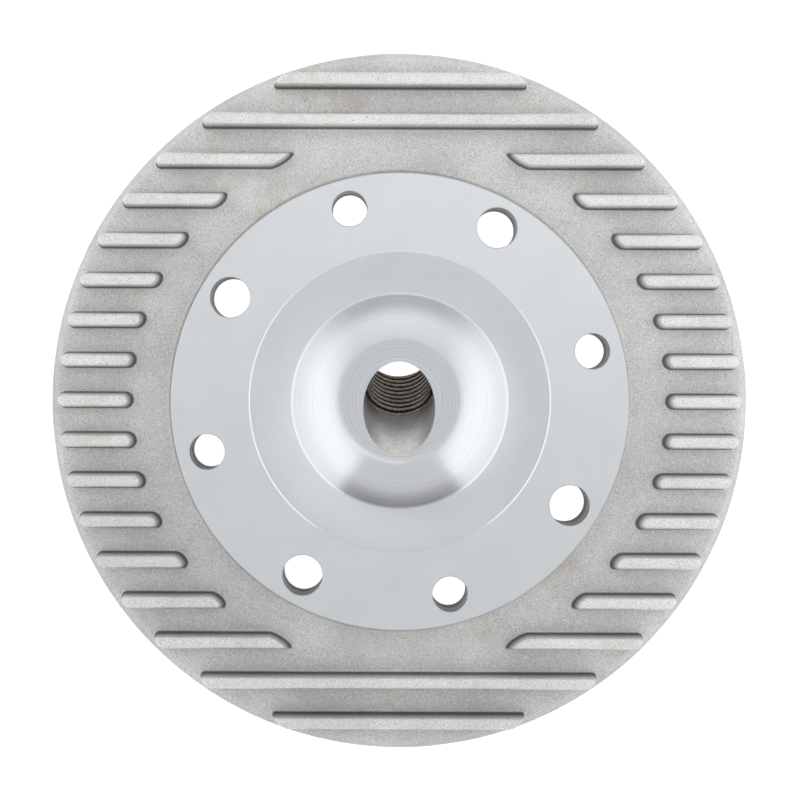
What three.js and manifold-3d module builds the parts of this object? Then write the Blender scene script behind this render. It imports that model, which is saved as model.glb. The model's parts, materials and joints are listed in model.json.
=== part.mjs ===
// Air-cooled two-stroke cylinder head: a round finned casting, laid on its fin tips with the
// combustion side up. Millimetres, +Z up, origin on the cylinder axis at the fin tips.
import * as THREE from "three";
import { mergeVertices } from "three/addons/utils/BufferGeometryUtils.js";
import Module from "manifold-3d";

const wasm = await Module();
wasm.setup();

// Heights above the fin tips.
const gasketFaceZ = 44;
const deckTopZ = 38;
const deckBottomZ = 34;
const chamberFloorZ = 36.6;
const domeBottomZ = 27;
const ribTopZ = 42.5;

// Radii about the cylinder axis.
const deckRadius = 70;
const rimRounding = 2;
const gasketFaceRadius = 45.2;
const squishRadius = 29.6;
const squishDepth = 0.9;
const bowlRimRadius = 21.4;
const bowlFloorRadius = 11.7;
const bowlCurve = 1.5; // the bowl rises as this power: flat at its floor, about 45 degrees at its rim

// Studs: four small holes a quarter turn apart, and four large ones either side of the ±Y pair.
const studCircleRadius = 39.3;
const studPatternTurn = 14.8;
const largeStudSpread = 43.9;
const smallStudRadius = 3.5;
const largeStudRadius = 4;
const nutPocketRadius = 8.5;

// Spark plug hole: leans from the cylinder axis towards +Y on its way down.
const plugLean = 40;
const plugFloorY = -1.6;
const reliefRadius = 7.25;
const reliefLength = 6;
const plugSeatDepth = 18.1;
const threadBoreRadius = 6.35;
const insertRadius = 8.5;
const insertTopZ = 34.9;
const bossRadius = 12.5;
const plugPocketRadius = 14;
const plugChannelHalfWidth = 15.5;

// Fins below the deck and ribs above it run along X in the same rows.
const rowPitch = 8;
const outerRow = 8;
const finRootWidth = 3;
const finTipWidth = 2;
const finReach = 69;
const shortestFin = 18;
const longestStub = 30;
const ribWidth = 3.44;
const ribShoulderWidth = 2.3;
const ribReach = 68.9;
const ribInnerRadius = 52.8;
const lastSplitRow = 6;
const lastPlugRow = 5;

const roundSteps = 72;
const seamTurn = studPatternTurn + 67.8;
const clearance = 0.3;
const overlap = 1;

const radians = THREE.MathUtils.degToRad;

const materials = {
  machined: { color: 0xd4d9dc, roughness: 0.32, metalness: 1 },
  polished: { color: 0xe3e7ea, roughness: 0.18, metalness: 1 },
  cast: { color: 0xbfbdb8, roughness: 0.7, metalness: 0.9 },
  thread: { color: 0x6b625a, roughness: 0.5, metalness: 1 },
};

const group = new THREE.Group();

function addPiece(name, geometry, materialName) {
  const mesh = new THREE.Mesh(geometry, new THREE.MeshStandardMaterial(materials[materialName]));
  mesh.name = name;
  group.add(mesh);
}

// ---- solids for joining and cutting ----

function toSolid(geometry) {
  const bare = geometry.clone();
  bare.deleteAttribute("normal");
  bare.deleteAttribute("uv");
  const merged = mergeVertices(bare, 1e-4);
  return new wasm.Manifold(
    new wasm.Mesh({
      numProp: 3,
      vertProperties: new Float32Array(merged.attributes.position.array),
      triVerts: new Uint32Array(merged.index.array),
    }),
  );
}

function toGeometry(solid) {
  const mesh = solid.getMesh();
  const geometry = new THREE.BufferGeometry();
  geometry.setAttribute("position", new THREE.BufferAttribute(mesh.vertProperties, 3));
  geometry.setIndex(new THREE.BufferAttribute(mesh.triVerts, 1));
  geometry.computeVertexNormals();
  return geometry;
}

// A closed outline of (radius, height) points turned about Z, with its first facet edge on the seam.
function turned(outline) {
  const start = radians(seamTurn + 90);
  const lathe = new THREE.LatheGeometry(outline, roundSteps, start, Math.PI * 2);
  return lathe.rotateX(Math.PI / 2);
}

// A cylinder along the plug axis between two depths below the chamber floor.
const plugAxis = new THREE.Vector3(0, Math.sin(radians(plugLean)), -Math.cos(radians(plugLean)));
const plugFloor = new THREE.Vector3(0, plugFloorY, chamberFloorZ);

function plugCylinder(radius, from, to, steps) {
  const turn = new THREE.Quaternion().setFromUnitVectors(new THREE.Vector3(0, 1, 0), plugAxis);
  const middle = plugFloor.clone().addScaledVector(plugAxis, (from + to) / 2);
  return new THREE.CylinderGeometry(radius, radius, to - from, steps)
    .applyQuaternion(turn)
    .translate(middle.x, middle.y, middle.z);
}

// A block between two heights, wide enough to cut anything here.
function slab(fromZ, toZ) {
  const block = new THREE.BoxGeometry(4 * deckRadius, 4 * deckRadius, toZ - fromZ);
  return block.translate(0, 0, (fromZ + toZ) / 2);
}

// ---- stud pattern ----

const studs = [];
for (let quarter = 0; quarter < 4; quarter += 1) {
  studs.push({ turn: studPatternTurn + 90 * quarter, radius: smallStudRadius });
}
for (const axis of [studPatternTurn + 90, studPatternTurn + 270]) {
  studs.push({ turn: axis - largeStudSpread, radius: largeStudRadius });
  studs.push({ turn: axis + largeStudSpread, radius: largeStudRadius });
}
for (const stud of studs) {
  stud.x = studCircleRadius * Math.cos(radians(stud.turn));
  stud.y = studCircleRadius * Math.sin(radians(stud.turn));
}

// ---- gasket flange, in four quarters with two studs each ----

function arcPoints(radius, fromTurn, toTurn, steps) {
  return Array.from({ length: steps + 1 }, (_, i) => {
    const angle = radians(fromTurn + ((toTurn - fromTurn) * i) / steps);
    return new THREE.Vector2(radius * Math.cos(angle), radius * Math.sin(angle));
  });
}

function flangeQuarter(fromTurn) {
  const steps = roundSteps / 4;
  const outer = arcPoints(gasketFaceRadius, fromTurn, fromTurn + 90, steps);
  const inner = arcPoints(squishRadius, fromTurn + 90, fromTurn, steps);
  const shape = new THREE.Shape([...outer, ...inner]);
  for (const stud of studs) {
    const past = (((stud.turn - fromTurn) % 360) + 360) % 360;
    if (past < 90) {
      const hole = new THREE.Path();
      hole.absarc(stud.x, stud.y, stud.radius, 0, Math.PI * 2, true);
      shape.holes.push(hole);
    }
  }
  const depth = gasketFaceZ - deckBottomZ;
  const plate = new THREE.ExtrudeGeometry(shape, { depth, bevelEnabled: false, curveSegments: 10 });
  return plate.translate(0, 0, deckBottomZ);
}

for (let quarter = 0; quarter < 4; quarter += 1) {
  addPiece(`gasket_flange_${quarter + 1}`, flangeQuarter(seamTurn + 90 * quarter), "machined");
}

// ---- combustion chamber dome ----

function domeOutline() {
  const outline = [
    new THREE.Vector2(0, domeBottomZ),
    new THREE.Vector2(squishRadius, domeBottomZ),
    new THREE.Vector2(squishRadius, gasketFaceZ),
  ];
  const rimZ = gasketFaceZ - squishDepth;
  const width = bowlRimRadius - bowlFloorRadius;
  const depth = rimZ - chamberFloorZ;
  const bowlSteps = 7;
  for (let i = bowlSteps; i >= 0; i -= 1) {
    const share = i / bowlSteps;
    outline.push(
      new THREE.Vector2(bowlFloorRadius + width * share, chamberFloorZ + depth * share ** bowlCurve),
    );
  }
  outline.push(new THREE.Vector2(0, chamberFloorZ));
  return outline;
}

const throughAll = 60;
const insertPocket = toSolid(
  plugCylinder(insertRadius + clearance, reliefLength - clearance, throughAll, 24),
).subtract(toSolid(slab(insertTopZ + clearance, 3 * gasketFaceZ)));
const reliefBore = toSolid(plugCylinder(reliefRadius, -throughAll / 4, reliefLength + overlap, 24));
const plugPocket = toSolid(plugCylinder(plugPocketRadius, plugSeatDepth, throughAll, 24));
const threadBore = toSolid(plugCylinder(threadBoreRadius, 0, throughAll, 24));

const dome = toSolid(turned(domeOutline()))
  .subtract(reliefBore)
  .subtract(insertPocket)
  .subtract(threadBore)
  .subtract(plugPocket);
addPiece("combustion_dome", toGeometry(dome), "polished");

// ---- plug boss and its steel thread insert ----

const boss = toSolid(plugCylinder(bossRadius, 0, plugSeatDepth, 28))
  .subtract(toSolid(slab(domeBottomZ, 3 * gasketFaceZ)))
  .subtract(insertPocket);
addPiece("plug_boss", toGeometry(boss), "cast");

const insert = toSolid(plugCylinder(insertRadius, reliefLength, plugSeatDepth, 24))
  .subtract(threadBore)
  .subtract(toSolid(slab(insertTopZ, 3 * gasketFaceZ)));
addPiece("plug_thread_insert", toGeometry(insert), "thread");

// ---- bars along X: fins and ribs share the same build ----

// A (y, z) outline swept along X from one end to the other.
const alongX = new THREE.Matrix4().makeBasis(
  new THREE.Vector3(0, 1, 0),
  new THREE.Vector3(0, 0, 1),
  new THREE.Vector3(1, 0, 0),
);

function barAlongX(outline, rowY, fromX, toX) {
  const shape = new THREE.Shape(outline.map(([y, z]) => new THREE.Vector2(y, z)));
  const bar = new THREE.ExtrudeGeometry(shape, { depth: toX - fromX, bevelEnabled: false });
  return bar.applyMatrix4(alongX).translate(fromX, rowY, 0);
}

function reachAt(radius, rowY, width) {
  const edge = Math.abs(rowY) + width / 2;
  return Math.sqrt(radius * radius - edge * edge);
}

function rowLabel(row) {
  return row === 0 ? "mid" : `${row > 0 ? "p" : "n"}${Math.abs(row)}`;
}

function sideLabel(fromX, toX) {
  if (fromX > 0) return "_right";
  return toX < 0 ? "_left" : "";
}

// ---- cooling fins ----

const finOutline = [
  [-finTipWidth / 2, 0],
  [finTipWidth / 2, 0],
  [finRootWidth / 2, deckBottomZ],
  [-finRootWidth / 2, deckBottomZ],
];

// The stretches of X that a row's gaps take away: nut pockets, and the plug channel.
function finGaps(row) {
  const rowY = row * rowPitch;
  const gaps = [];
  for (const stud of studs) {
    const off = Math.max(0, Math.abs(rowY - stud.y) - finRootWidth / 2);
    if (off < nutPocketRadius) {
      const half = Math.sqrt(nutPocketRadius ** 2 - off ** 2);
      gaps.push([stud.x - half, stud.x + half]);
    }
  }
  if (row >= 0 && row <= lastPlugRow) {
    gaps.push([-plugChannelHalfWidth, plugChannelHalfWidth]);
  }
  return gaps.sort((a, b) => a[0] - b[0]);
}

function finStretches(row) {
  const reach = reachAt(finReach, row * rowPitch, finRootWidth);
  const stretches = [];
  let from = -reach;
  for (const [gapFrom, gapTo] of finGaps(row)) {
    stretches.push([from, gapFrom]);
    from = Math.max(from, gapTo);
  }
  stretches.push([from, reach]);
  return stretches.filter(([a, b]) => b - a >= shortestFin);
}

const domeRoom = toSolid(
  new THREE.CylinderGeometry(
    squishRadius + clearance,
    squishRadius + clearance,
    gasketFaceZ - domeBottomZ,
    roundSteps,
  )
    .rotateX(Math.PI / 2)
    .translate(0, 0, (gasketFaceZ + domeBottomZ) / 2 - clearance),
);
const bossRoom = toSolid(plugCylinder(bossRadius + clearance, 0, plugSeatDepth + clearance, 28));
const flangeRoom = toSolid(
  turned([
    new THREE.Vector2(0, deckBottomZ),
    new THREE.Vector2(gasketFaceRadius, deckBottomZ),
    new THREE.Vector2(gasketFaceRadius, gasketFaceZ),
    new THREE.Vector2(0, gasketFaceZ),
  ]),
);

// A short fin outside a nut pocket has no neighbour but the deck, so it is joined to it.
const deckStubs = [];
const stubRoot = finOutline.map(([y, z]) => [y, z > 0 ? z + overlap : z]);

for (let row = -outerRow; row <= outerRow; row += 1) {
  const rowY = row * rowPitch;
  for (const [from, to] of finStretches(row)) {
    const innerEnd = Math.min(Math.abs(from), Math.abs(to));
    if (to - from < longestStub && innerEnd > studCircleRadius) {
      deckStubs.push(toSolid(barAlongX(stubRoot, rowY, from, to)).subtract(flangeRoom));
      continue;
    }
    const fin = toSolid(barAlongX(finOutline, rowY, from, to)).subtract(domeRoom);
    const name = `cooling_fin_${rowLabel(row)}${sideLabel(from, to)}`;
    addPiece(name, toGeometry(fin.subtract(bossRoom)), "cast");
  }
}

// ---- finned deck, in two halves ----

function deckOutline() {
  const middleZ = (deckTopZ + deckBottomZ) / 2;
  const outline = [
    new THREE.Vector2(gasketFaceRadius, deckTopZ),
    new THREE.Vector2(gasketFaceRadius, deckBottomZ),
  ];
  const arcSteps = 6;
  for (let i = 0; i <= arcSteps; i += 1) {
    const angle = Math.PI * (i / arcSteps - 0.5);
    outline.push(
      new THREE.Vector2(
        deckRadius - rimRounding + rimRounding * Math.cos(angle),
        middleZ + rimRounding * Math.sin(angle),
      ),
    );
  }
  outline.push(outline[0].clone());
  return outline;
}

const wholeDeck = deckStubs.reduce((deck, stub) => deck.add(stub), toSolid(turned(deckOutline())));

["right", "left"].forEach((side, index) => {
  const half = new THREE.BoxGeometry(2 * deckRadius, 4 * deckRadius, 4 * gasketFaceZ)
    .translate(deckRadius, 0, 0)
    .rotateZ(radians(seamTurn - 90) + Math.PI * index);
  addPiece(`deck_${side}`, toGeometry(wholeDeck.intersect(toSolid(half))), "cast");
});

// ---- ribs on the combustion side of the deck ----

function ribOutline() {
  const shoulder = ribShoulderWidth / 2;
  const outline = [
    [-ribWidth / 2, deckTopZ],
    [ribWidth / 2, deckTopZ],
  ];
  const arcSteps = 4;
  for (let i = 0; i <= arcSteps; i += 1) {
    const angle = Math.PI * (i / arcSteps);
    outline.push([shoulder * Math.cos(angle), ribTopZ - shoulder + shoulder * Math.sin(angle)]);
  }
  return outline;
}

for (let row = -outerRow; row <= outerRow; row += 1) {
  const rowY = row * rowPitch;
  const outer = reachAt(ribReach, rowY, ribWidth);
  const inner = Math.sqrt(Math.max(0, ribInnerRadius ** 2 - rowY ** 2));
  const isWhole = Math.abs(row) > lastSplitRow;
  const stretches = isWhole ? [[-outer, outer]] : [[-outer, -inner], [inner, outer]];
  for (const [from, to] of stretches) {
    const name = `deck_rib_${rowLabel(row)}${sideLabel(from, to)}`;
    addPiece(name, barAlongX(ribOutline(), rowY, from, to), "cast");
  }
}

export default group;
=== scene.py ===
import json
import math

import bmesh
import bpy
from mathutils import Matrix, Vector, noise


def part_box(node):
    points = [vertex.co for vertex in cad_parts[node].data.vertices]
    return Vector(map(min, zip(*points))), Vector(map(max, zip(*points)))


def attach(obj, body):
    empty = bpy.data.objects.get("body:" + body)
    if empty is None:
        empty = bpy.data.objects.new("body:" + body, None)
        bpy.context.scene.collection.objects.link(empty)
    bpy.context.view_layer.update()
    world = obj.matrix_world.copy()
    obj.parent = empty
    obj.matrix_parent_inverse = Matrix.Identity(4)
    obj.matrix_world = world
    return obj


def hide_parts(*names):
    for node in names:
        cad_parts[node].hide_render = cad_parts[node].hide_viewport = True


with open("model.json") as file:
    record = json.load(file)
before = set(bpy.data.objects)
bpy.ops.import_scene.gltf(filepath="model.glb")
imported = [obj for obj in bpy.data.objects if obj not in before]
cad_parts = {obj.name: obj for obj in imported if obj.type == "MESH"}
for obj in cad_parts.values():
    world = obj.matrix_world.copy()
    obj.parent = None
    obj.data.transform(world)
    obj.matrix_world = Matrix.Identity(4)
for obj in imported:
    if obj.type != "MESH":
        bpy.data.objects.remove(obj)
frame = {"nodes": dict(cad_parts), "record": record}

mm = 0.001
upright = Vector((0, 0, 1))
levelNormal = 0.9999  # a face whose normal is this near to Z counts as level
hair = 0.01 * mm
nearby = 0.1 * mm  # slack when faces are told apart by their radius
blockSteps = 48  # sides of the plain round blocks that only cut
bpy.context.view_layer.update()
scene = bpy.context.scene
record = frame["record"]


# what the frame says: heights, radii, stud places, the plug hole's axis

def boxOf(node):
    low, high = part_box(node)
    return Vector(low), Vector(high)


def radiiOf(node):
    radii = [math.hypot(v.co.x, v.co.y) for v in frame["nodes"][node].data.vertices]
    return min(radii), max(radii)


def namedLike(start):
    return sorted(name for name in frame["nodes"] if name.startswith(start))


def openingCentre(opening):
    low, high = opening["box_m"]
    return (Vector(low) + Vector(high)) / 2


flangeLow, flangeHigh = boxOf("gasket_flange_1")
boreRadius, faceRadius = radiiOf("gasket_flange_1")
discRadius = radiiOf("deck_left")[1]
faceZ = flangeHigh.z
seatZ = flangeLow.z
deckTopZ = boxOf("deck_left")[1].z
domeBottomZ = boxOf("combustion_dome")[0].z
ribTopZ = boxOf("deck_rib_mid_left")[1].z
deckBottomZ = seatZ

openings = {o["name"]: o for o in record["physics"]["openings"]}
studHoles = {"small": [], "large": []}
for name, opening in sorted(openings.items()):
    if name.startswith("stud_hole_"):
        studHoles[name.split("_")[2]].append(openingCentre(opening))

mounts = {m["name"]: m for m in record["mounts"]}
plugAxis = Vector(mounts["plug_seat"]["axis"]).normalized()
plugSeat = Vector(mounts["plug_seat"]["pos_m"])
plugSeat.x = 0


# meshes

def newPiece(name, mesh, materials):
    piece = bpy.data.objects.new(name, mesh)
    scene.collection.objects.link(piece)
    for material in materials:
        piece.data.materials.append(material)
    return piece


def meshFrom(name, vertices, faces):
    mesh = bpy.data.meshes.new(name)
    mesh.from_pydata(vertices, [], faces)
    mesh.validate()
    return mesh


def tidyMesh(mesh, mergeDistance=1e-6, sharpAngle=32):
    bm = bmesh.new()
    bm.from_mesh(mesh)
    bmesh.ops.remove_doubles(bm, verts=bm.verts, dist=mergeDistance)
    bmesh.ops.dissolve_degenerate(bm, edges=bm.edges, dist=mergeDistance)
    bmesh.ops.recalc_face_normals(bm, faces=bm.faces)
    bm.to_mesh(mesh)
    bm.free()
    # level faces stay flat, so that a hole leaves no streaks on them
    mesh.polygons.foreach_set("use_smooth", [abs(face.normal.z) < levelNormal for face in mesh.polygons])
    mesh.set_sharp_from_angle(angle=math.radians(sharpAngle))
    mesh.update()


def ringPoint(radius, turn, height):
    return Vector((radius * math.cos(turn), radius * math.sin(turn), height))


def leaning(axis, foot):
    # takes what stands on the origin to where it starts at foot and runs along axis
    return Matrix.Translation(foot) @ axis.to_track_quat("Z", "Y").to_matrix().to_4x4()


def turnedMesh(name, outline, steps, axis=None, foot=None):
    # a closed (radius, height) outline turned about Z, or about another axis that starts at foot
    count = len(outline)
    vertices = []
    for i in range(steps):
        turn = 2 * math.pi * i / steps
        for radius, height in outline:
            vertices.append(ringPoint(radius, turn, height))
    if axis is not None:
        place = leaning(axis, foot)
        vertices = [place @ v for v in vertices]
    faces = []
    for i in range(steps):
        ahead = (i + 1) % steps
        for j in range(count):
            up = (j + 1) % count
            faces.append((i * count + j, ahead * count + j, ahead * count + up, i * count + up))
    mesh = meshFrom(name, vertices, faces)
    tidyMesh(mesh)
    return mesh


def arc(centreR, centreZ, radius, fromDegrees, toDegrees, steps):
    points = []
    for i in range(steps + 1):
        angle = math.radians(fromDegrees + (toDegrees - fromDegrees) * i / steps)
        points.append((centreR + radius * math.cos(angle), centreZ + radius * math.sin(angle)))
    return points


def cutWith(piece, cutter):
    # the cutter is used up
    modifier = piece.modifiers.new("cut", "BOOLEAN")
    modifier.operation = "DIFFERENCE"
    modifier.solver = "EXACT"
    modifier.object = cutter
    mesh = bpy.data.meshes.new_from_object(piece.evaluated_get(bpy.context.evaluated_depsgraph_get()))
    piece.modifiers.clear()
    old = piece.data
    piece.data = mesh
    mesh.name = old.name
    bpy.data.meshes.remove(old)
    bpy.data.meshes.remove(cutter.data)


def joinMeshes(name, meshes):
    bm = bmesh.new()
    for mesh in meshes:
        bm.from_mesh(mesh)
    joined = bpy.data.meshes.new(name)
    bm.to_mesh(joined)
    bm.free()
    for mesh in meshes:
        bpy.data.meshes.remove(mesh)
    return joined


def solidCylinder(name, radius, steps, foot, axis, length):
    outline = [(0, 0), (radius, 0), (radius, length), (0, length)]
    return turnedMesh(name, outline, steps, axis=axis, foot=foot)


def paintFaces(mesh, rule):
    # rule takes a face's centre and normal and gives a material's place in the list
    for face in mesh.polygons:
        face.material_index = rule(face.center, face.normal)


# what the chamber and its plug hole measure

domeLook = {
    "steps": 288,
    "squishDepth": 0.9 * mm,
    "rimRadius": 21.4 * mm,
    "floorRadius": 11.7 * mm,
    "bowlCurve": 1.5,
    "pointSpread": 1.5,
    "rimLine": (0.17 * mm, 0.1 * mm),
    "bowlSteps": 28,
    "underFillet": 3 * mm,
    "reliefRadius": 7.25 * mm,
    "reliefLength": 6 * mm,
    "reliefOverlap": 1 * mm,
    "insertRadius": 8.5 * mm,
    "pocketRadius": 14 * mm,
    "seatDepth": 18.1 * mm,
    "throughDepth": 60 * mm,
    "overrun": 15 * mm,
    "insertTopZ": boxOf("plug_thread_insert")[1].z,
    "holeSteps": 128,
}
insertLook = {
    "pitch": 1.25 * mm,
    "majorRadius": 7.0 * mm,
    "minorRadius": 6.33 * mm,
    "turnSteps": 96,
    "pitchSteps": 12,
    "crestShare": 0.25,
    "flankShare": 0.88,
    "leadIn": 0.05 * mm,
    "cleanEnd": 0.4 * mm,
    "mergeDistance": 1e-7,
    "sharpAngle": 30,
}
plugFloor = plugSeat - plugAxis * domeLook["seatDepth"]
chamberFloorZ = plugFloor.z


# node trees

def addNode(tree, kind, inputs=None, **settings):
    node = tree.nodes.new(kind)
    for key, value in settings.items():
        setattr(node, key, value)
    for key, value in (inputs or {}).items():
        if isinstance(value, bpy.types.NodeSocket):
            tree.links.new(value, node.inputs[key])
        else:
            node.inputs[key].default_value = value
    return node


def maths(tree, operation, *values):
    node = addNode(tree, "ShaderNodeMath", operation=operation)
    for i, value in enumerate(values):
        if isinstance(value, bpy.types.NodeSocket):
            tree.links.new(value, node.inputs[i])
        else:
            node.inputs[i].default_value = value
    return node.outputs[0]


def ramp(tree, value, stops):
    node = addNode(tree, "ShaderNodeValToRGB", inputs={"Fac": value})
    elements = node.color_ramp.elements
    while len(elements) < len(stops):
        elements.new(0.5)
    for element, (position, shade) in zip(elements, stops):
        element.position = position
        colour = shade if isinstance(shade, tuple) else (shade, shade, shade)
        element.color = (*colour, 1)
    return node.outputs["Color"]


def mixColour(tree, factor, first, second, blend="MIX"):
    node = tree.nodes.new("ShaderNodeMix")
    node.data_type = "RGBA"
    node.blend_type = blend
    for key, value in (("Factor_Float", factor), ("A_Color", first), ("B_Color", second)):
        socket = next(s for s in node.inputs if s.identifier == key)
        if isinstance(value, bpy.types.NodeSocket):
            tree.links.new(value, socket)
        elif isinstance(value, tuple):
            socket.default_value = (*value, 1)
        else:
            socket.default_value = value
    return next(s for s in node.outputs if s.identifier == "Result_Color")


def newMaterial(name):
    material = bpy.data.materials.new(name)
    material.use_nodes = True
    tree = material.node_tree
    tree.nodes.clear()
    shader = tree.nodes.new("ShaderNodeBsdfPrincipled")
    output = tree.nodes.new("ShaderNodeOutputMaterial")
    tree.links.new(shader.outputs["BSDF"], output.inputs["Surface"])
    place = tree.nodes.new("ShaderNodeTexCoord").outputs["Object"]
    return material, tree, shader, place


def noiseAt(tree, place, perMetre, detail=2, roughness=0.5, dimensions="3D"):
    node = addNode(
        tree, "ShaderNodeTexNoise", noise_dimensions=dimensions,
        inputs={"Scale": perMetre, "Detail": detail, "Roughness": roughness},
    )
    tree.links.new(place, node.inputs["W" if dimensions == "1D" else "Vector"])
    return node.outputs[0]


def bumpFrom(tree, height, distance, strength=1, under=None):
    node = addNode(
        tree, "ShaderNodeBump",
        inputs={"Height": height, "Distance": distance, "Strength": strength},
    )
    if under is not None:
        tree.links.new(under, node.inputs["Normal"])
    return node.outputs["Normal"]


def apart(tree, place):
    # a position's X, Y and Z
    return addNode(tree, "ShaderNodeSeparateXYZ", inputs={0: place}).outputs


def axisDistance(tree, place):
    flat = addNode(tree, "ShaderNodeVectorMath", operation="MULTIPLY", inputs={0: place, 1: (1, 1, 0)})
    length = addNode(tree, "ShaderNodeVectorMath", operation="LENGTH", inputs={0: flat.outputs[0]})
    return length.outputs["Value"]


def smoothStep(tree, value, low, high, start=0.0, end=1.0):
    node = addNode(
        tree, "ShaderNodeMapRange", interpolation_type="SMOOTHSTEP",
        inputs={"Value": value, "From Min": low, "From Max": high, "To Min": start, "To Max": end},
    )
    return node.outputs["Result"]


def weighted(tree, *pairs):
    # the sum of each value times its weight
    total = None
    for value, weight in pairs:
        part = maths(tree, "MULTIPLY", value, weight)
        total = part if total is None else maths(tree, "ADD", total, part)
    return total


def darkened(tree, colour, factor, where=1.0):
    # the colour times a shade, or a brighter one if the factor is above 1
    shade = (factor, factor, factor) if isinstance(factor, float) else factor
    return mixColour(tree, where, colour, shade, "MULTIPLY")


def castAluminium():
    look = {
        "light": (0.90, 0.90, 0.89),
        "dark": (0.62, 0.62, 0.612),
        "patchScale": 60,
        "grainScale": 3300,
        "speckScale": 6200,
        "pepper": [(0.3, 0.3), (0.45, 0.88), (0.55, 1.0), (0.7, 1.4)],
        "pepperStrength": 0.75,
        "stain": (0.50, 0.36, 0.22),
        "stainScale": 55,
        "stainStrength": 0.35,
        "pit": (0.13, 0.12, 0.11),
        "pitScale": 700.0,
        "flankPaintedShade": 0.18,
        "flankFoot": (0.05 * mm, 0.5 * mm),
        "flankTop": (3.4 * mm, 0.15 * mm),
        "skirtPaintedShade": 0.35,
        "skirtWidth": (1.6 * mm, 2.4 * mm),
        "crownPaintedHighlight": 1.16,
        "crownEdge": (0.35 * mm, 0.12 * mm),
        "crownPolish": 0.12,
        "rimPaintedShade": 0.80,
        "rimWidth": (1.4 * mm, 0.3 * mm),
        "paintedLightFalloff": (0.92, 1.10),
        "paintedLightFalloffLean": 0.5,
        "roughness": 0.55,
        "metallic": 0.45,
        "speckBump": (0.05 * mm, 0.5),
        "grainBump": (0.12 * mm, 0.6),
    }
    material, tree, shader, place = newMaterial("castAluminium")
    grain = noiseAt(tree, place, look["grainScale"], 3, 0.75)
    speck = noiseAt(tree, place, look["speckScale"], 2, 0.65)
    tone = weighted(tree, (noiseAt(tree, place, look["patchScale"], 4, 0.6), 0.45), (grain, 0.55))
    colour = mixColour(tree, ramp(tree, tone, [(0.34, 0), (0.64, 1)]), look["dark"], look["light"])
    colour = darkened(tree, colour, ramp(tree, speck, look["pepper"]), look["pepperStrength"])

    # a few warm stains and open pores
    stains = ramp(tree, noiseAt(tree, place, look["stainScale"], 5, 0.7), [(0.58, 0), (0.7, 1)])
    colour = mixColour(tree, maths(tree, "MULTIPLY", stains, look["stainStrength"]), colour, look["stain"])
    pores = addNode(tree, "ShaderNodeTexVoronoi", inputs={"Vector": place, "Scale": look["pitScale"]})
    hole = ramp(tree, pores.outputs["Distance"], [(0.05, 1), (0.13, 0)])
    where = ramp(tree, noiseAt(tree, place, look["patchScale"], 3, 0.6), [(0.54, 0), (0.66, 1)])
    colour = mixColour(tree, maths(tree, "MULTIPLY", hole, where), colour, look["pit"])

    # painted shade darkens the ribs' flanks, and only faintly the foot of the flange's skirt; a painted
    # highlight brightens the ribs' crowns
    height = apart(tree, place)["Z"]
    radius = axisDistance(tree, place)
    above = smoothStep(tree, height, *(deckTopZ + up for up in look["flankFoot"]))
    below = smoothStep(tree, height, *(ribTopZ - down for down in look["flankTop"]), 1.0, 0.0)
    skirtIn, skirtOut = look["skirtWidth"]
    outside = smoothStep(tree, radius, faceRadius + skirtIn, faceRadius + skirtOut, look["skirtPaintedShade"], 1.0)
    flank = maths(tree, "MULTIPLY", maths(tree, "MULTIPLY", above, below), outside)
    colour = mixColour(tree, flank, colour, darkened(tree, colour, look["flankPaintedShade"]))
    crown = smoothStep(tree, height, *(ribTopZ - down for down in look["crownEdge"]))
    colour = mixColour(tree, crown, colour, darkened(tree, colour, look["crownPaintedHighlight"]))

    # painted shade makes the rim a little darker, and a painted light falloff darkens the side nearer -X and
    # -Y and brightens the far side
    rimIn, rimOut = look["rimWidth"]
    rim = smoothStep(tree, radius, discRadius - rimIn, discRadius - rimOut, 1.0, look["rimPaintedShade"])
    aslant = maths(tree, "ADD", apart(tree, place)["Y"],
                   maths(tree, "MULTIPLY", apart(tree, place)["X"], look["paintedLightFalloffLean"]))
    paintedFalloff = smoothStep(tree, aslant, -discRadius, discRadius, *look["paintedLightFalloff"])
    colour = darkened(tree, colour, maths(tree, "MULTIPLY", rim, paintedFalloff))
    tree.links.new(colour, shader.inputs["Base Color"])
    shader.inputs["Metallic"].default_value = look["metallic"]
    polish = maths(tree, "MULTIPLY", crown, look["crownPolish"])
    tree.links.new(maths(tree, "SUBTRACT", look["roughness"], polish), shader.inputs["Roughness"])
    fine = bumpFrom(tree, speck, *look["speckBump"])
    tree.links.new(bumpFrom(tree, grain, *look["grainBump"], fine), shader.inputs["Normal"])
    return material


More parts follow.
